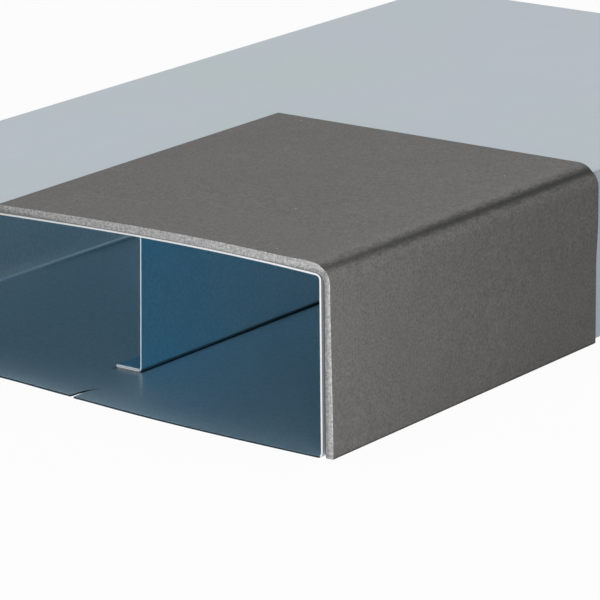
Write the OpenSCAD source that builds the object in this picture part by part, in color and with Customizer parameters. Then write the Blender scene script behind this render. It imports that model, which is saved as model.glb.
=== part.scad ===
// Flat duct connector: a folded sheet tube with an upright web inside it and a foam pad over one corner.
// X runs across the duct, Y along it from the front end, and Z up.
// The origin is under the middle of the whole part, on the surface that it rests on.

/* [Duct shell] */
// Outer width of the folded tube
duct_w = 200; // [160:1:300]
// Outer height of the folded tube
duct_h = 56; // [40:0.5:100]
// Length of the duct from end to end
duct_l = 340; // [240:5:600]
// Thickness of the galvanised sheet
sheet_t = 0.6; // [0.5:0.1:1.2]
// Inside radius of the four long bends
shell_bend_r = 1.2; // [0.8:0.1:2]

/* [Floor seam] */
// Distance of the butt seam from the web's plain face, out on the plain side
seam_offset = 2; // [1.5:0.5:10]
// Gap between the two long edges of the sheet where they meet
seam_gap = 0.2; // [0.1:0.05:0.4]
// Width to which the seam gapes at the front edge
gape_w = 0.8; // [0.5:0.1:1.5]
// Length over which the gape closes
gape_l = 13; // [8:1:30]

/* [Divider web] */
// Distance of the web's plain face from the outside of the right wall
web_inset = 97; // [60:1:120]
// Distance of the web from each end of the duct
web_setback = 36; // [10:1:60]
// Thickness of the strip that the web is folded from
web_t = 0.45; // [0.4:0.05:0.8]
// Inside radius of the bends between the web and its flanges
web_bend_r = 0.8; // [0.3:0.1:1]
// Width of the web's foot and of its top flange
flange_w = 10; // [9:0.5:14]
// Distance of each hem's cut edge from the start of the bend
hem_setback = 0.25; // [0.2:0.05:3]
// Gap between the two leaves of a hem
hem_gap = 0.1; // [0.05:0.05:0.3]

/* [Foam wrap] */
// Thickness of the foam pad
foam_t = 2.8; // [2:0.1:6]
// Depth of the pad along the duct, from the front end
foam_l = 143; // [60:1:200]
// Width of roof under the pad, from the outside of the right wall
foam_w = 123; // [60:1:150]
// Space between the right wall and the pad's hanging side
foam_side_gap = 1; // [0.3:0.1:2]
// Height of the pad's lower edge above the underside of the duct
foam_lift = 0.3; // [0.3:0.1:10]

/* [Hidden] */
$fn = 64;

left_x = -(duct_w + foam_side_gap + foam_t) / 2;
right_x = left_x + duct_w;
front_y = -duct_l / 2;
web_x = right_x - web_inset;
seam_x = web_x + seam_offset;
shell_corner_r = shell_bend_r + sheet_t;
web_corner_r = web_bend_r + web_t;
hem_fold_r = web_t + hem_gap / 2;

// The pad turns down where the sheet does, so that its inside clears the round of the sheet.
foam_bend_r = shell_corner_r + foam_side_gap;

// A cutter starts and ends this far outside the sheet that it cuts.
cut_margin = 1;

// Stands a flat section up and runs it along the duct from y0.
module run_along(y0, length) {
    translate([0, y0 + length, 0])
        rotate([90, 0, 0])
            linear_extrude(length)
                children();
}

// Quarter of a ring about the origin, between the +X and the +Y axis.
module quarter_ring(inner_r, thickness) {
    outer_r = inner_r + thickness;
    difference() {
        intersection() {
            circle(outer_r);
            square(outer_r);
        }
        circle(inner_r);
    }
}

// Rectangle about the origin with round corners.
module round_rect(width, height, r) {
    square([width - 2 * r, height], center = true);
    square([width, height - 2 * r], center = true);
    for (x = [r - width / 2, width / 2 - r])
        for (y = [r - height / 2, height / 2 - r])
            translate([x, y])
                circle(r);
}

// Section of the tube about its own middle.
module tube_section() {
    difference() {
        round_rect(duct_w, duct_h, shell_corner_r);
        round_rect(duct_w - 2 * sheet_t, duct_h - 2 * sheet_t, shell_bend_r);
    }
}

// The slit between the sheet's long edges, seen from above, with its gaping front end.
module seam_outline() {
    translate([-seam_gap / 2, -cut_margin])
        square([seam_gap, duct_l + 2 * cut_margin]);
    polygon([[-gape_w / 2, -cut_margin], [gape_w / 2, -cut_margin], [gape_w / 2, 0],
             [seam_gap / 2, gape_l], [-seam_gap / 2, gape_l], [-gape_w / 2, 0]]);
}

// One sheet folded into a tube, whose edges meet along the floor.
module duct_shell() {
    color([0.72, 0.76, 0.78])
        difference() {
            translate([left_x + duct_w / 2, 0, duct_h / 2])
                run_along(front_y, duct_l)
                    tube_section();
            translate([seam_x, front_y, -cut_margin])
                linear_extrude(sheet_t + 2 * cut_margin)
                    seam_outline();
        }
}

// Half of the web's section, with its plain face on the Z axis and its foot out to the left.
module half_web_section() {
    upright_h = duct_h / 2 - sheet_t - web_corner_r;
    fold_x = hem_fold_r - flange_w;
    translate([-web_t, web_corner_r])
        square([web_t, upright_h]);
    translate([-web_corner_r, web_corner_r])
        mirror([0, 1])
            quarter_ring(web_bend_r, web_t);
    translate([fold_x, 0])
        square([-web_corner_r - fold_x, web_t]);
    translate([fold_x, hem_fold_r])
        mirror([1, 0])
            for (flip = [0, 1])
                mirror([0, flip])
                    quarter_ring(hem_gap / 2, web_t);
    translate([fold_x, web_t + hem_gap])
        square([-web_corner_r - hem_setback - fold_x, web_t]);
}

// A channel that stands between the floor and the roof, with both flanges out to the left.
module divider_web() {
    color([0.62, 0.66, 0.69])
        run_along(front_y + web_setback, duct_l - 2 * web_setback)
            translate([web_x, duct_h / 2])
                for (flip = [0, 1])
                    mirror([0, flip])
                        translate([0, sheet_t - duct_h / 2])
                            half_web_section();
}

// Section of the pad, with the outer corner of the tube's right wall and roof at the origin.
module foam_section() {
    bend_x = foam_side_gap - foam_bend_r;
    translate([-foam_w, 0])
        square([foam_w + bend_x, foam_t]);
    translate([bend_x, -foam_bend_r])
        quarter_ring(foam_bend_r, foam_t);
    translate([foam_side_gap, foam_lift - duct_h])
        square([foam_t, duct_h - foam_lift - foam_bend_r]);
}

// The pad lies on the roof, turns down over the right wall and starts flush with the front end.
module foam_wrap() {
    color([0.42, 0.41, 0.4])
        run_along(front_y, foam_l)
            translate([right_x, duct_h])
                foam_section();
}

duct_shell();
divider_web();
foam_wrap();
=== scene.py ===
"""Looks of a flat duct connector: a folded zinc tube, its dividing web and a foam pad over one corner."""
import math

import bpy
from mathutils import Matrix, Vector


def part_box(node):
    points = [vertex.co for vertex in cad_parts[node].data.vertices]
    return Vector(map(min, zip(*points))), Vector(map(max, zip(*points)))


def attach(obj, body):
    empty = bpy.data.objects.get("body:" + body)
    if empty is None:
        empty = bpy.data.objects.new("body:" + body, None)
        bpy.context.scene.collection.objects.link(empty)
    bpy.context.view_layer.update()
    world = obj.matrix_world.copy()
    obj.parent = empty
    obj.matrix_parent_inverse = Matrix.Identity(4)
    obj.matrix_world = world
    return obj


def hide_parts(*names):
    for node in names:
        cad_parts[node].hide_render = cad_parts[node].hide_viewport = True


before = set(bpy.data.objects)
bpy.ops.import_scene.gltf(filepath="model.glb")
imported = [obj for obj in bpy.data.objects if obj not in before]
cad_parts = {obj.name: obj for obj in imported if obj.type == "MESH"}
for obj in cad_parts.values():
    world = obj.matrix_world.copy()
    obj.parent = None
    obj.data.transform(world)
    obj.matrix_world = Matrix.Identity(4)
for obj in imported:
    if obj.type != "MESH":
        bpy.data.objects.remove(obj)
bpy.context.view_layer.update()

MM = 0.001

# Places that the frame gives. Y runs from the front end to the back end, and Z is up.
SHELL_LOW, SHELL_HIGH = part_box("duct_shell")
WEB_LOW, WEB_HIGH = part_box("divider_web")
FOAM_LOW, FOAM_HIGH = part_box("foam_wrap")
LEFT, RIGHT = SHELL_LOW.x, SHELL_HIGH.x
FRONT, BACK = SHELL_LOW.y, SHELL_HIGH.y
ROOF = SHELL_HIGH.z
SHEET = WEB_LOW.z
FOAM = FOAM_HIGH.z - ROOF
SIDE_GAP = FOAM_HIGH.x - FOAM - RIGHT

# Sizes of the sheet metal that the frame's boxes don't give. Bend radii are those of the sheet's middle.
SHELL_BEND = 1.5 * MM
SEAM_X = WEB_HIGH.x + 2 * MM
SEAM_GAP = 0.01 * MM
WEB_SHEET = 0.45 * MM
WEB_BEND = 0.8 * MM + WEB_SHEET / 2
HEM_SETBACK = 0.1 * MM
HEM_GAP = 0.02 * MM
BURR = 0.03 * MM

# How the thin sheet springs out of true at its front end.
ROOF_RISE = 1.42 * MM
ROOF_DIP = 0.77 * MM
ROOF_TURN = 0.61
ROOF_SKEW = 0.85
ROOF_FADE = 70 * MM
FLOOR_RISE = 3.3 * MM
FLOOR_SKEW = 1.8
FLOOR_FADE = 36 * MM
SEAM_GAPE = 1.3 * MM
SEAM_GAPE_LENGTH = 14 * MM
SEAM_WANDER = 1.5 * MM
SEAM_STEP = 0.15 * MM
SEAM_REACH = 12 * MM
WEB_SHIFT = 0.67 * MM
WEB_FORWARD = 0.5 * MM
WEB_LEAN = 1.35 * MM

# Reaches of the painted shadows in corners, of the pale film that is part dust and part painted sheen, and
# of the painted light that makes the web's blue paler with depth.
SHADOW_LINE_REACH = 0.7 * MM
FOOT_SHADE = 3 * MM
SHEEN_DUST_DEPTH = 30 * MM
SHEEN_DUST_LEFT = SEAM_X - 18 * MM
WALL_PALE_REACH = 6 * MM
PAINTED_LIGHT_DEPTH = 110 * MM

# How the pad hangs: its side stands off the wall at the front and is drawn onto it at the back.
STAND_FRONT = 3.83 * MM
STAND_BACK = 2.4 * MM
SIDE_TUCK = 0.72 * MM
SIDE_BULGE = 0.65 * MM
GAP_BACK = 0.05 * MM
BEND_FRONT = 5.7 * MM
BEND_BACK = 7.3 * MM
CORNER_PUFF = 0.4 * MM
CORNER_PUFF_REACH = 14 * MM
LEFT_THINNING = 0.25 * MM
CREASE_FRONT = math.radians(65)
CREASE_BACK = math.radians(46)
CREASE_DEPTH = 0.25 * MM
CREASE_WIDTH = 1.6 * MM
PAD_EDGE = 0.35 * MM

# The camera, from the near lower corner of the tube's front end.
CAMERA_FROM_CORNER = Vector((715.03, -964.20, 396.80)) * MM
CAMERA_YAW = math.radians(36.852)
CAMERA_PITCH = math.radians(16.182)
CAMERA_ROLL = math.radians(-0.625)
CAMERA_LENS = 259.2

# How light the room is, and how much of the floor is plain white to the camera.
ROOM_LIGHT = 0.16
FLOOR_WHITE = 0.96
FLOOR_REACH = 4.0


# Outlines in the plane across the duct

def run(start, end, steps):
    """Points from start towards end, without end."""
    return [start.lerp(end, i / steps) for i in range(steps)]


def arc(centre, radius, first, last, steps):
    """Points on an arc between two angles in degrees, without the last one."""
    angles = [math.radians(first + (last - first) * i / steps) for i in range(steps)]
    return [centre + radius * Vector((math.cos(a), math.sin(a))) for a in angles]


def normals(path):
    """The unit normal on the right-hand side of each point of a path."""
    result = []
    for i in range(len(path)):
        along = path[min(i + 1, len(path) - 1)] - path[max(i - 1, 0)]
        result.append(Vector((along.y, -along.x)).normalized())
    return result


def shell_path():
    """The middle of the tube's sheet, from the seam round to the seam, with the outside on its right."""
    half = SHEET / 2
    low, high, near, far = half, ROOF - half, LEFT + half, RIGHT - half
    r = SHELL_BEND
    seam_right = Vector((SEAM_X + SEAM_GAP / 2, low))
    seam_left = Vector((SEAM_X - SEAM_GAP / 2, low))
    path = run(seam_right, Vector((far - r, low)), 36)
    path += arc(Vector((far - r, low + r)), r, -90, 0, 8)
    path += run(Vector((far, low + r)), Vector((far, high - r)), 16)
    path += arc(Vector((far - r, high - r)), r, 0, 90, 8)
    path += run(Vector((far - r, high)), Vector((near + r, high)), 64)
    path += arc(Vector((near + r, high - r)), r, 90, 180, 8)
    path += run(Vector((near, high - r)), Vector((near, low + r)), 16)
    path += arc(Vector((near + r, low + r)), r, 180, 270, 8)
    path += run(Vector((near + r, low)), seam_left, 36)
    return path + [seam_left]


def web_path():
    """The middle of the web's sheet, from the hem of the foot up to the hem of the roof flange."""
    leaf_low = WEB_LOW.z + WEB_SHEET / 2
    leaf_high = WEB_HIGH.z - WEB_SHEET / 2
    face = WEB_HIGH.x - WEB_SHEET / 2
    fold = (WEB_SHEET + HEM_GAP) / 2
    fold_x = WEB_LOW.x + fold + WEB_SHEET / 2
    hem_x = face - WEB_BEND - HEM_SETBACK
    r = WEB_BEND
    path = run(Vector((hem_x, leaf_low + 2 * fold)), Vector((fold_x, leaf_low + 2 * fold)), 6)
    path += arc(Vector((fold_x, leaf_low + fold)), fold, 90, 270, 8)
    path += run(Vector((fold_x, leaf_low)), Vector((face - r, leaf_low)), 8)
    path += arc(Vector((face - r, leaf_low + r)), r, -90, 0, 8)
    path += run(Vector((face, leaf_low + r)), Vector((face, leaf_high - r)), 24)
    path += arc(Vector((face - r, leaf_high - r)), r, 0, 90, 8)
    path += run(Vector((face - r, leaf_high)), Vector((fold_x, leaf_high)), 8)
    path += arc(Vector((fold_x, leaf_high - fold)), fold, 90, 270, 8)
    path += run(Vector((fold_x, leaf_high - 2 * fold)), Vector((hem_x, leaf_high - 2 * fold)), 6)
    return path + [Vector((hem_x, leaf_high - 2 * fold))]


def pad_face(side, top, bend):
    """One face of the pad: up its hanging side, round the bend and along the roof to its far edge."""
    centre = Vector((side - bend, top - bend))
    path = run(Vector((side, FOAM_LOW.z)), Vector((side, centre.y)), 40)
    path += arc(centre, bend, 0, 90, 28)
    path += run(Vector((centre.x, top)), Vector((FOAM_LOW.x, top)), 70)
    return path + [Vector((FOAM_LOW.x, top))]


def stations(start, end, count, crowding=1.0):
    """Places along the duct, closer together towards the start where crowding is above 1."""
    return [start + (end - start) * (i / count) ** crowding for i in range(count + 1)]


# Bends of the thin sheet and of the pad

def fade(distance, reach, power=2):
    """Falls from 1 at no distance to 0 at reach, and ends level."""
    return max(0.0, 1 - distance / reach) ** power


def between(start, end, share):
    """The value at a share of the way from start to end."""
    return start + (end - start) * share


def smooth_step(share):
    """Rises from 0 at no share to 1 at a full share, level at both ends."""
    held = min(max(share, 0.0), 1.0)
    return held * held * (3 - 2 * held)


def roof_spring(x, y):
    """How far the roof's front end stands above its true height."""
    across = min(max((RIGHT - x) / (RIGHT - LEFT), 0.0), 1.0)
    if across < ROOF_TURN:
        lift = ROOF_RISE * math.sin(math.pi * (across / ROOF_TURN) ** ROOF_SKEW)
    else:
        lift = -ROOF_DIP * math.sin(math.pi * (across - ROOF_TURN) / (1 - ROOF_TURN))
    return lift * fade(y - FRONT, ROOF_FADE)


def floor_spring(x, y):
    """How far the floor's front end stands above its true height."""
    across = min(max((RIGHT - x) / (RIGHT - LEFT), 0.0), 1.0)
    lift = FLOOR_RISE * math.sin(math.pi * across ** FLOOR_SKEW) ** 2
    return lift * fade(y - FRONT, FLOOR_FADE, 3)


def seam_shift(x, y, side):
    """How far a point beside the seam moves sideways and up. side is 1 right of the seam, -1 left of it."""
    painted_depth_light = y - FRONT
    near = fade(abs(x - SEAM_X), SEAM_REACH)
    along = min(painted_depth_light / SEAM_GAPE_LENGTH, 1.0)
    open_half = (SEAM_GAPE - SEAM_GAP) / 2 * (1 - along ** 3)
    wander = -SEAM_WANDER * math.sin(math.pi * along ** 1.3)
    step = -side * SEAM_STEP * fade(painted_depth_light, SEAM_GAPE_LENGTH)
    return near * (side * open_half + wander), near * step


def shell_point(path_point, offset, y, index, count):
    """A point of the tube's sheet, sprung at the front end."""
    flat = path_point + offset
    height = path_point.y / ROOF
    sideways, up = 0.0, 0.0
    if path_point.y < SHEET:
        sideways, up = seam_shift(path_point.x, y, 1 if index < count / 2 else -1)
    lift = (1 - height) * floor_spring(path_point.x, y) + height * roof_spring(path_point.x, y)
    return Vector((flat.x + sideways, y, flat.y + lift + up))


def web_point(path_point, offset, y, index, count):
    """A point of the web, which leans a little to the right at the top."""
    flat = path_point + offset
    lean = WEB_LEAN * (path_point.y - WEB_LOW.z) / (WEB_HIGH.z - WEB_LOW.z)
    return Vector((flat.x + WEB_SHIFT + lean, y - WEB_FORWARD, flat.y))


def pad_share(y):
    """How far along the pad a place lies, from 0 at its front edge to 1 at its back edge."""
    return (y - FRONT) / (FOAM_HIGH.y - FRONT)


def pad_inside(y):
    """The pad's inner face at one place along the duct."""
    gap = between(SIDE_GAP, GAP_BACK, pad_share(y))
    return [pad_lifted(p, y) for p in pad_face(RIGHT + gap, ROOF, gap + SHELL_BEND + SHEET / 2)]


def pad_outside(y):
    """The pad's outer face at one place along the duct: thinner at the left, full over the front corner."""
    back = pad_share(y)
    bend = between(BEND_FRONT, BEND_BACK, back)
    crease_angle = between(CREASE_FRONT, CREASE_BACK, math.sqrt(back))
    face = pad_face(RIGHT + between(STAND_FRONT, STAND_BACK, back), ROOF + FOAM, bend)
    points = []
    for p, n in zip(face, normals(face)):
        off_crease = (math.atan2(n.y, n.x) - crease_angle) * bend
        inward = CREASE_DEPTH * math.exp(-(off_crease / CREASE_WIDTH) ** 2)
        puff = CORNER_PUFF * fade(abs(p.x - RIGHT + BEND_FRONT), CORNER_PUFF_REACH) * fade(back, 1)
        thinning = LEFT_THINNING * (RIGHT - p.x) / (RIGHT - FOAM_LOW.x)
        tuck = SIDE_TUCK * (1 - back) * smooth_step(p.y / ROOF)
        bulge = SIDE_BULGE * back * smooth_step((p.y - ROOF * 0.45) / (ROOF * 0.3))
        shift = Vector(((bulge - tuck) * max(n.x, 0.0), (puff - thinning) * max(n.y, 0.0)))
        points.append(pad_lifted(p - n * inward + shift, y))
    return points


def pad_lifted(p, y):
    """A point of the pad, lifted with the roof's front end under it."""
    on_roof = max(0.0, 1 - (ROOF - p.y) / BEND_FRONT) if p.y < ROOF else 1.0
    return Vector((p.x, y, p.y + roof_spring(p.x, y) * on_roof))


# Mesh building

def closed_sheet(name, outer, inner, materials, face_slots, rim_slots, end_slot):
    """A closed sheet between two grids of points, each a list of rows along the duct.

    face_slots are the material slots of the outer and the inner face. rim_slots gives one slot for each
    step along a row, for the rims at both ends of the duct, and end_slot is that of the rows' own ends.
    """
    rows, count = len(outer), len(outer[0])
    points = [p for row in outer for p in row] + [p for row in inner for p in row]
    faces, slots = [], []

    def at(row, i, inside):
        return row * count + i + (rows * count if inside else 0)

    def add(face, slot, flip=False):
        faces.append(face[::-1] if flip else face)
        slots.append(slot)

    for row in range(rows - 1):
        for i in range(count - 1):
            add((at(row, i, 0), at(row, i + 1, 0), at(row + 1, i + 1, 0), at(row + 1, i, 0)), face_slots[0])
            add((at(row, i, 1), at(row + 1, i, 1), at(row + 1, i + 1, 1), at(row, i + 1, 1)), face_slots[1])
        for i, flip in ((0, False), (count - 1, True)):
            add((at(row, i, 0), at(row + 1, i, 0), at(row + 1, i, 1), at(row, i, 1)), end_slot, flip)
    for row, flip in ((0, True), (rows - 1, False)):
        for i in range(count - 1):
            add((at(row, i, 0), at(row, i + 1, 0), at(row, i + 1, 1), at(row, i, 1)), rim_slots[i], flip)

    mesh = bpy.data.meshes.new(name)
    mesh.from_pydata(points, [], faces)
    for material in materials:
        mesh.materials.append(material)
    mesh.polygons.foreach_set("material_index", slots)
    mesh.polygons.foreach_set("use_smooth", [True] * len(faces))
    mesh.set_sharp_from_angle(angle=math.radians(40))
    mesh.update()
    piece = bpy.data.objects.new(name, mesh)
    bpy.context.scene.collection.objects.link(piece)
    return piece


def soften_edges(piece, width, segments):
    """Rounds the cut edges of a sheet."""
    bevel = piece.modifiers.new("soft edges", "BEVEL")
    bevel.width = width
    bevel.segments = segments
    bevel.limit_method = "ANGLE"
    bevel.angle_limit = math.radians(50)
    bevel.harden_normals = True


def sheet_faces(path, places, place, thickness):
    """The outer and the inner face of a bent sheet along the duct."""
    sides = normals(path)

    def grid(sign):
        return [[place(p, n * sign * thickness / 2, y, i, len(path))
                 for i, (p, n) in enumerate(zip(path, sides))] for y in places]

    return grid(1), grid(-1)


def make_shell():
    outer, inner = sheet_faces(shell_path(), stations(FRONT, BACK, 72, 1.7), shell_point, SHEET)
    outside, inside, cut, floor_cut, seam_cut = range(5)
    rims = [floor_cut if p.y < SHEET else cut for p in shell_path()[1:]]
    # The inside faces are painted bluer and paler than the outside of the same sheet, painted light for the
    # shaded inside.
    inside_zinc = zinc_inside("zinc_inside", (0.485, 0.645, 0.735), (0.485, 0.645, 0.735))
    # The floor's front rim and the seam's cut faces are painted near black, painted shade.
    floor_edge = painted_shade_edge("floor_edge", (0.02, 0.04, 0.055))
    seam_edge = painted_shade_edge("seam_edge", (0.003, 0.006, 0.009))
    materials = [zinc_outside(), inside_zinc, bare_edge(), floor_edge, seam_edge]
    piece = closed_sheet("shell_sheet", outer, inner, materials, (outside, inside), rims, seam_cut)
    soften_edges(piece, BURR, 1)
    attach(piece, "root")
    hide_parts("duct_shell")


def make_web():
    outer, inner = sheet_faces(web_path(), stations(WEB_LOW.y, WEB_HIGH.y, 24), web_point, WEB_SHEET)
    zinc, cut = range(2)
    rims = [cut] * (len(outer[0]) - 1)
    # The web is painted deep blue by its front end and paler further back, painted light for the dimmer
    # depth of the duct.
    materials = [zinc_inside("zinc_web", (0.42, 0.59, 0.66), (0.153, 0.508, 0.758)), bare_edge()]
    piece = closed_sheet("web_sheet", outer, inner, materials, (zinc, zinc), rims, cut)
    soften_edges(piece, BURR, 1)
    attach(piece, "root")
    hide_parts("divider_web")


def make_foam():
    places = stations(FOAM_LOW.y, FOAM_HIGH.y, 72)
    outer = [pad_outside(y) for y in places]
    inner = [pad_inside(y) for y in places]
    skin, cut = range(2)
    rims = [cut] * (len(outer[0]) - 1)
    piece = closed_sheet("foam_pad", outer, inner, [foam_skin(), foam_cut()], (skin, skin), rims, cut)
    soften_edges(piece, PAD_EDGE, 3)
    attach(piece, "root")
    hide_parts("foam_wrap")


# Materials

class Material:
    """A node material, with short calls that add a node and join it up."""

    def __init__(self, name):
        self.material = bpy.data.materials.new(name)
        self.material.use_nodes = True
        self.nodes = self.material.node_tree.nodes
        self.links = self.material.node_tree.links
        self.shader = self.nodes["Principled BSDF"]
        self.place = self.nodes.new("ShaderNodeTexCoord").outputs["Object"]
        axes = self.nodes.new("ShaderNodeSeparateXYZ")
        self.links.new(self.place, axes.inputs[0])
        self.x, self.y, self.z = axes.outputs

    def set(self, **values):
        """Sets the shader's own sockets, with _ for a space in a socket's name."""
        for key, value in values.items():
            self.shader.inputs[key.replace("_", " ")].default_value = value

    def put(self, socket, value):
        """Gives a socket a number, a colour or another node's output."""
        if isinstance(value, bpy.types.NodeSocket):
            self.links.new(value, socket)
        elif socket.type == "RGBA":
            socket.default_value = (*value, 1)
        else:
            socket.default_value = value

    def stretched(self, stretch, turn=(0, 0, 0)):
        """The object's coordinates, turned and then stretched."""
        node = self.nodes.new("ShaderNodeMapping")
        node.inputs["Scale"].default_value = stretch
        node.inputs["Rotation"].default_value = turn
        self.links.new(self.place, node.inputs["Vector"])
        return node.outputs["Vector"]

    def noise(self, size, detail=2.0, stretch=(1, 1, 1), turn=(0, 0, 0)):
        """Noise from 0 to 1 whose blots are about as wide as size, in metres."""
        node = self.nodes.new("ShaderNodeTexNoise")
        node.inputs["Scale"].default_value = 1 / size
        node.inputs["Detail"].default_value = detail
        self.links.new(self.stretched(stretch, turn), node.inputs["Vector"])
        return node.outputs["Fac"]

    def specks(self, spacing, size, share):
        """Round specks of a size, of which a share of the cells of a given spacing holds one."""
        node = self.nodes.new("ShaderNodeTexVoronoi")
        node.inputs["Scale"].default_value = 1 / spacing
        self.links.new(self.place, node.inputs["Vector"])
        spot = self.span(node.outputs["Distance"], 0.3 * size / spacing, 0.6 * size / spacing, 1, 0)
        channels = self.nodes.new("ShaderNodeSeparateColor")
        self.links.new(node.outputs["Color"], channels.inputs[0])
        return self.math("MULTIPLY", spot, self.math("LESS_THAN", channels.outputs[0], share))

    def math(self, kind, a, b=0.0, c=0.0):
        node = self.nodes.new("ShaderNodeMath")
        node.operation = kind
        for socket, value in zip(node.inputs, (a, b, c)):
            self.put(socket, value)
        return node.outputs[0]

    def times(self, a, b):
        return self.math("MULTIPLY", a, b)

    def plus(self, a, b):
        return self.math("ADD", a, b)

    def span(self, value, low, high, to_low=0.0, to_high=1.0):
        """Maps value from low..high to to_low..to_high, and holds it there."""
        node = self.nodes.new("ShaderNodeMapRange")
        for socket, number in zip(node.inputs, (value, low, high, to_low, to_high)):
            self.put(socket, number)
        return node.outputs[0]

    def near(self, value, centre, reach):
        """1 where value is centre, and 0 from reach away."""
        off = self.math("ABSOLUTE", self.math("SUBTRACT", value, centre))
        return self.span(off, 0.0, reach, 1.0, 0.0)

    def bell(self, value, width):
        """1 where value is 0, and about a third where it is width away, on a bell curve."""
        share = self.math("DIVIDE", value, width)
        return self.math("EXPONENT", self.times(-1.0, self.times(share, share)))

    def mix(self, share, a, b):
        """Mixes two colours."""
        node = self.nodes.new("ShaderNodeMix")
        node.data_type = "RGBA"
        self.put(node.inputs[0], share)
        self.put(node.inputs[6], a)
        self.put(node.inputs[7], b)
        return node.outputs[2]

    def scaled(self, colour, factor):
        """A colour times a factor that varies over the surface."""
        node = self.nodes.new("ShaderNodeVectorMath")
        node.operation = "SCALE"
        self.put(node.inputs[0], colour)
        self.put(node.inputs["Scale"], factor)
        return node.outputs[0]

    def bump(self, height, painted_depth_light, strength=1.0):
        """Bumps that are about depth high, in metres."""
        node = self.nodes.new("ShaderNodeBump")
        node.inputs["Strength"].default_value = strength
        node.inputs["Distance"].default_value = painted_depth_light
        self.links.new(height, node.inputs["Height"])
        self.links.new(node.outputs["Normal"], self.shader.inputs["Normal"])

    def colour(self, value):
        self.put(self.shader.inputs["Base Color"], value)

    def roughness(self, value):
        self.put(self.shader.inputs["Roughness"], value)


def grey(value, warm=0.0):
    return (value * (1 + warm), value, value * (1 - warm))


def zinc_outside():
    """Pale satin zinc with soft cloudy patches, faint rolling lines and a painted dark line of shade along
    the long bend at the top right.
    """
    m = Material("zinc_outside")
    clouds = m.noise(70 * MM, 3.0)
    lines = m.noise(1.2 * MM, 2.0, (1, 0.04, 1))
    base = m.mix(m.span(clouds, 0.35, 0.65), (0.41, 0.48, 0.5), (0.43, 0.48, 0.54))
    base = m.mix(m.span(lines, 0.3, 0.7, 0.0, 0.08), base, (0.55, 0.62, 0.67))
    # Painted shade: a dark line along the bend between the roof and the right wall.
    painted_bend_shade = m.times(m.near(m.x, RIGHT, 0.7 * MM), m.near(m.z, ROOF, 1.2 * MM))
    m.colour(m.scaled(base, m.span(painted_bend_shade, 0.0, 0.5, 1.0, 0.25)))
    m.roughness(m.span(clouds, 0.3, 0.7, 0.42, 0.5))
    m.set(Metallic=0.5)
    m.bump(lines, 0.01 * MM, 0.4)
    return m.material


def painted_web_shadow(m):
    """How dark the painted shadow is: a black line in the corner under the web's plain face, and a painted
    contact shadow on the floor just before the web's foot.
    """
    front, back = WEB_LOW.y - WEB_FORWARD, WEB_HIGH.y - WEB_FORWARD
    corner = m.times(m.near(m.x, WEB_HIGH.x + WEB_SHIFT, SHADOW_LINE_REACH), m.near(m.z, SHEET, SHADOW_LINE_REACH))
    along = m.times(m.span(m.y, front, WEB_LOW.y), m.span(m.y, back - 1 * MM, back, 1.0, 0.0))
    line = m.span(m.times(corner, along), 0.0, 0.3)
    foot_middle = (WEB_LOW.x + WEB_HIGH.x) / 2 + WEB_SHIFT
    foot_half = (WEB_HIGH.x - WEB_LOW.x) / 2
    across = m.span(m.near(m.x, foot_middle, foot_half + 1 * MM), 0.0, 0.2)
    past_start = m.span(m.y, front - FOOT_SHADE, front - 1 * MM)
    before_end = m.span(m.y, front, WEB_LOW.y, 1.0, 0.0)
    on_floor = m.span(m.z, SHEET, 2 * SHEET, 1.0, 0.0)
    foot = m.times(m.times(across, m.times(past_start, before_end)), m.times(on_floor, 0.75))
    return m.math("MAXIMUM", line, foot)


def floor_dust_and_sheen(m):
    """How thick a pale film lies on the floor: by the front end part dust and part painted sheen, a paler
    strip by the left wall, and a few pale specks.
    """
    low = m.span(m.z, 4 * MM, 5 * MM, 1.0, 0.0)
    from_front = m.span(m.y, FRONT, FRONT + SHEEN_DUST_DEPTH, 1.0, 0.0)
    near_end = m.times(from_front, m.span(m.x, SHEEN_DUST_LEFT, RIGHT, 1.0, 0.0))
    near_wall = m.span(m.x, LEFT + SHEET, LEFT + SHEET + WALL_PALE_REACH, 0.4, 0.0)
    patches = m.span(m.noise(1.5 * MM, 4.0), 0.3, 0.7, 0.05, 0.35)
    film = m.times(m.math("MAXIMUM", near_end, near_wall), patches)
    return m.times(low, m.math("MAXIMUM", film, m.times(m.specks(7 * MM, 0.7 * MM, 0.15), 0.8)))


def zinc_inside(name, pale, deep):
    """Glossy zinc for the inside faces, painted bluer and paler than the outside of the same sheet as
    painted light for the shaded inside, with a painted black shadow where the web meets the floor and a
    pale film near the front end that is part dust and part painted sheen.
    """
    m = Material(name)
    clouds = m.noise(40 * MM, 3.0)
    grain = m.noise(1.0 * MM, 3.0)
    # Painted light: paler further back, where less light reaches into the duct.
    painted_depth_light = m.span(m.y, WEB_LOW.y, WEB_LOW.y + PAINTED_LIGHT_DEPTH)
    base = m.mix(m.plus(painted_depth_light, m.span(clouds, 0.35, 0.65, -0.1, 0.1)), deep, pale)
    base = m.scaled(base, m.span(grain, 0.25, 0.75, 0.88, 1.12))
    # Painted shadow: black under the web's plain face and before its foot.
    base = m.scaled(base, m.math("SUBTRACT", 1.0, painted_web_shadow(m)))
    # A pale film: part dust, part painted sheen.
    dust_and_sheen = floor_dust_and_sheen(m)
    m.colour(m.mix(dust_and_sheen, base, (0.62, 0.66, 0.68)))
    m.roughness(m.plus(m.span(clouds, 0.3, 0.7, 0.32, 0.38), m.times(dust_and_sheen, 0.5)))
    m.put(m.shader.inputs["Metallic"], m.span(dust_and_sheen, 0.0, 1.0, 0.85, 0.2))
    m.set(Coat_Weight=0.1, Coat_Roughness=0.05)
    return m.material


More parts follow.
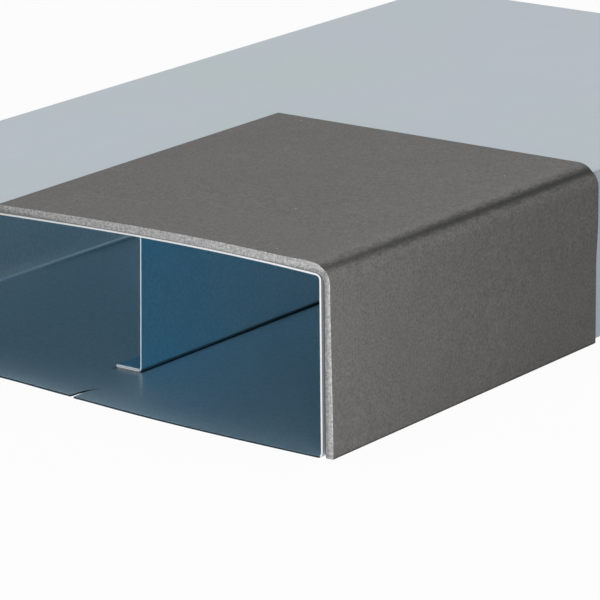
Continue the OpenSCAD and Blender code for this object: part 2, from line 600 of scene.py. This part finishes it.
def painted_shade_edge(name, colour):
    """A cut face painted near black: painted shade for a face that lies in shade."""
    m = Material(name)
    m.colour(m.scaled(colour, m.span(m.noise(1.5 * MM), 0.3, 0.7, 0.7, 1.3)))
    m.set(Roughness=0.7, Specular_IOR_Level=0.05)
    return m.material


def bare_edge():
    """The bright cut through the sheet."""
    m = Material("bare_edge")
    m.colour(m.mix(m.noise(2 * MM), (0.8, 0.82, 0.84), (0.88, 0.9, 0.92)))
    m.set(Metallic=0.2, Roughness=0.5)
    return m.material


def off_crease(m):
    """How far round the pad's bend a point lies from the crease, in metres, and more towards the roof."""
    back = m.span(m.y, FRONT, FOAM_HIGH.y)
    bend = m.span(back, 0, 1, BEND_FRONT, BEND_BACK)
    side = m.span(back, 0, 1, RIGHT + STAND_FRONT, RIGHT + STAND_BACK)
    across = m.plus(m.math("SUBTRACT", m.x, side), bend)
    up = m.plus(m.math("SUBTRACT", m.z, ROOF + FOAM), bend)
    angle = m.math("ARCTAN2", up, across)
    crease = m.span(m.math("SQRT", back), 0, 1, CREASE_FRONT, CREASE_BACK)
    return m.times(m.math("SUBTRACT", angle, crease), bend)


def foam_skin():
    """Matt fine-grained skin with a dark crease, a real groove darkened further by painted shade, a painted
    highlight beside it, pale specks and painted shade along its low, back and left edges.
    """
    m = Material("foam_skin")
    grain = m.noise(0.78 * MM, 4.0)
    mottle = m.noise(3.5 * MM, 3.0)
    patches = m.noise(25 * MM, 2.0)
    tone = m.times(m.span(grain, 0.25, 0.75, 0.7, 1.3), m.span(mottle, 0.25, 0.75, 0.93, 1.07))
    tone = m.times(tone, m.span(patches, 0.3, 0.7, 0.97, 1.03))
    streaks = m.noise(1.2 * MM, 2.0, (1, 0.35, 1), (0, 0, math.radians(40)))
    distance = m.times(off_crease(m), m.span(streaks, 0.3, 0.7, 0.7, 1.3))
    deep = m.span(m.y, FRONT, FRONT + 60 * MM, 0.6, 0.76)
    # Painted shade in the crease, and a painted highlight beside it.
    painted_crease_shade = m.times(deep, m.bell(distance, CREASE_WIDTH * 1.15))
    painted_highlight = m.times(0.1, m.bell(m.math("SUBTRACT", distance, 3.6 * MM), 2.0 * MM))
    tone = m.times(tone, m.plus(m.math("SUBTRACT", 1.0, painted_crease_shade), painted_highlight))
    # Painted shade along the pad's low, back and left edges.
    low_edge = m.span(m.z, FOAM_LOW.z + 0.2 * MM, FOAM_LOW.z + 0.9 * MM, 0.3, 1.0)
    back_edge = m.span(m.y, FOAM_HIGH.y - 0.5 * MM, FOAM_HIGH.y - 0.2 * MM, 1.0, 0.5)
    left_edge = m.span(m.x, FOAM_LOW.x + 0.2 * MM, FOAM_LOW.x + 0.5 * MM, 0.5, 1.0)
    tone = m.times(tone, m.times(low_edge, m.times(back_edge, left_edge)))
    skin = m.scaled(grey(0.158, 0.02), tone)
    m.colour(m.mix(m.specks(6 * MM, 0.6 * MM, 0.08), skin, grey(0.55)))
    m.set(Roughness=0.85, Specular_IOR_Level=0.25)
    m.bump(grain, 0.15 * MM, 0.6)
    return m.material


def foam_cut():
    """The pale porous cut through the pad, paler towards the skin."""
    m = Material("foam_cut")
    pores = m.noise(0.9 * MM, 3.0)
    flecks = m.noise(0.4 * MM, 2.0)
    shade = m.times(m.span(pores, 0.3, 0.7, 0.65, 1.35), m.span(flecks, 0.3, 0.7, 0.8, 1.2))
    above_roof = m.math("SUBTRACT", m.z, ROOF)
    beside_wall = m.math("SUBTRACT", m.x, RIGHT + SIDE_GAP)
    outward = m.math("MAXIMUM", above_roof, beside_wall)
    shade = m.times(shade, m.span(outward, 0.8 * MM, 1.6 * MM, 0.7, 1.1))
    m.colour(m.scaled(grey(0.395), shade))
    m.set(Roughness=0.9, Specular_IOR_Level=0.25)
    m.bump(pores, 0.3 * MM, 0.8)
    return m.material


# Stage

def floor_material():
    """White to the camera and in reflections, with a faint shadow."""
    m = Material("floor")
    m.set(Base_Color=(0.45, 0.45, 0.45, 1), Roughness=0.9, Specular_IOR_Level=0.0)
    path = m.nodes.new("ShaderNodeLightPath").outputs
    seen = m.math("MAXIMUM", path["Is Camera Ray"], path["Is Glossy Ray"])
    seen = m.math("MAXIMUM", seen, path["Is Transmission Ray"])
    glow = m.nodes.new("ShaderNodeEmission")
    glow.inputs["Color"].default_value = (1, 1, 1, 1)
    blend = m.nodes.new("ShaderNodeMixShader")
    m.links.new(m.times(seen, FLOOR_WHITE), blend.inputs[0])
    m.links.new(m.shader.outputs[0], blend.inputs[1])
    m.links.new(glow.outputs[0], blend.inputs[2])
    m.links.new(blend.outputs[0], m.nodes["Material Output"].inputs["Surface"])
    return m.material


def make_floor():
    reach = FLOOR_REACH
    corners = [(-reach, -reach, 0), (reach, -reach, 0), (reach, reach, 0), (-reach, reach, 0)]
    mesh = bpy.data.meshes.new("floor")
    mesh.from_pydata(corners, [], [(0, 1, 2, 3)])
    mesh.materials.append(floor_material())
    floor = bpy.data.objects.new("floor", mesh)
    bpy.context.scene.collection.objects.link(floor)


def make_world():
    """Even light of one level, and white to the camera and in reflections."""
    world = bpy.data.worlds.new("studio")
    bpy.context.scene.world = world
    world.use_nodes = True
    nodes, links = world.node_tree.nodes, world.node_tree.links
    path = nodes.new("ShaderNodeLightPath").outputs
    seen = path["Is Camera Ray"]
    for ray in ("Is Glossy Ray", "Is Transmission Ray"):
        either = nodes.new("ShaderNodeMath")
        either.operation = "MAXIMUM"
        links.new(seen, either.inputs[0])
        links.new(path[ray], either.inputs[1])
        seen = either.outputs[0]
    level = nodes.new("ShaderNodeMapRange")
    links.new(seen, level.inputs["Value"])
    level.inputs["To Min"].default_value = ROOM_LIGHT
    level.inputs["To Max"].default_value = 1.0
    links.new(level.outputs[0], nodes["Background"].inputs["Strength"])
    nodes["Background"].inputs["Color"].default_value = (1, 1, 1, 1)


def make_lamp(name, place, target, size, power):
    """A soft square lamp that faces a point."""
    light = bpy.data.lights.new(name, "AREA")
    light.shape = "SQUARE"
    light.size = size
    light.energy = power
    lamp = bpy.data.objects.new(name, light)
    lamp.location = place
    lamp.rotation_euler = (target - place).to_track_quat("-Z", "Y").to_euler()
    bpy.context.scene.collection.objects.link(lamp)


def make_lamps():
    middle = Vector((0, FRONT / 2, ROOF / 2))
    make_lamp("overhead", Vector((0, 0, 1.6)), middle, size=1.1, power=14)
    near_corner = Vector((RIGHT, FRONT, ROOF / 2))
    beside = near_corner + Vector((0.2, -0.25, 0.05))
    make_lamp("front_right", beside, near_corner, size=0.15, power=1.0)


def make_camera():
    """The camera at the photograph's place and angle."""
    yaw, pitch, roll = CAMERA_YAW, CAMERA_PITCH, CAMERA_ROLL
    level_ahead = Vector((-math.sin(yaw), math.cos(yaw), 0))
    level_right = Vector((math.cos(yaw), math.sin(yaw), 0))
    ahead = level_ahead * math.cos(pitch) - Vector((0, 0, math.sin(pitch)))
    up = Vector((0, 0, math.cos(pitch))) + level_ahead * math.sin(pitch)
    right = level_right * math.cos(roll) + up * math.sin(roll)
    up = up * math.cos(roll) - level_right * math.sin(roll)
    data = bpy.data.cameras.new("camera")
    data.sensor_width = 36
    data.lens = CAMERA_LENS
    data.clip_start = 0.01
    data.clip_end = 50
    camera = bpy.data.objects.new("camera", data)
    turn = Matrix((right, up, -ahead)).transposed().to_4x4()
    corner = Vector((RIGHT, FRONT, 0))
    camera.matrix_world = Matrix.Translation(corner + CAMERA_FROM_CORNER) @ turn
    bpy.context.scene.collection.objects.link(camera)
    bpy.context.scene.camera = camera


make_camera()
make_world()
make_lamps()
make_floor()
make_shell()
make_web()
make_foam()
bpy.context.scene.view_settings.view_transform = "Standard"
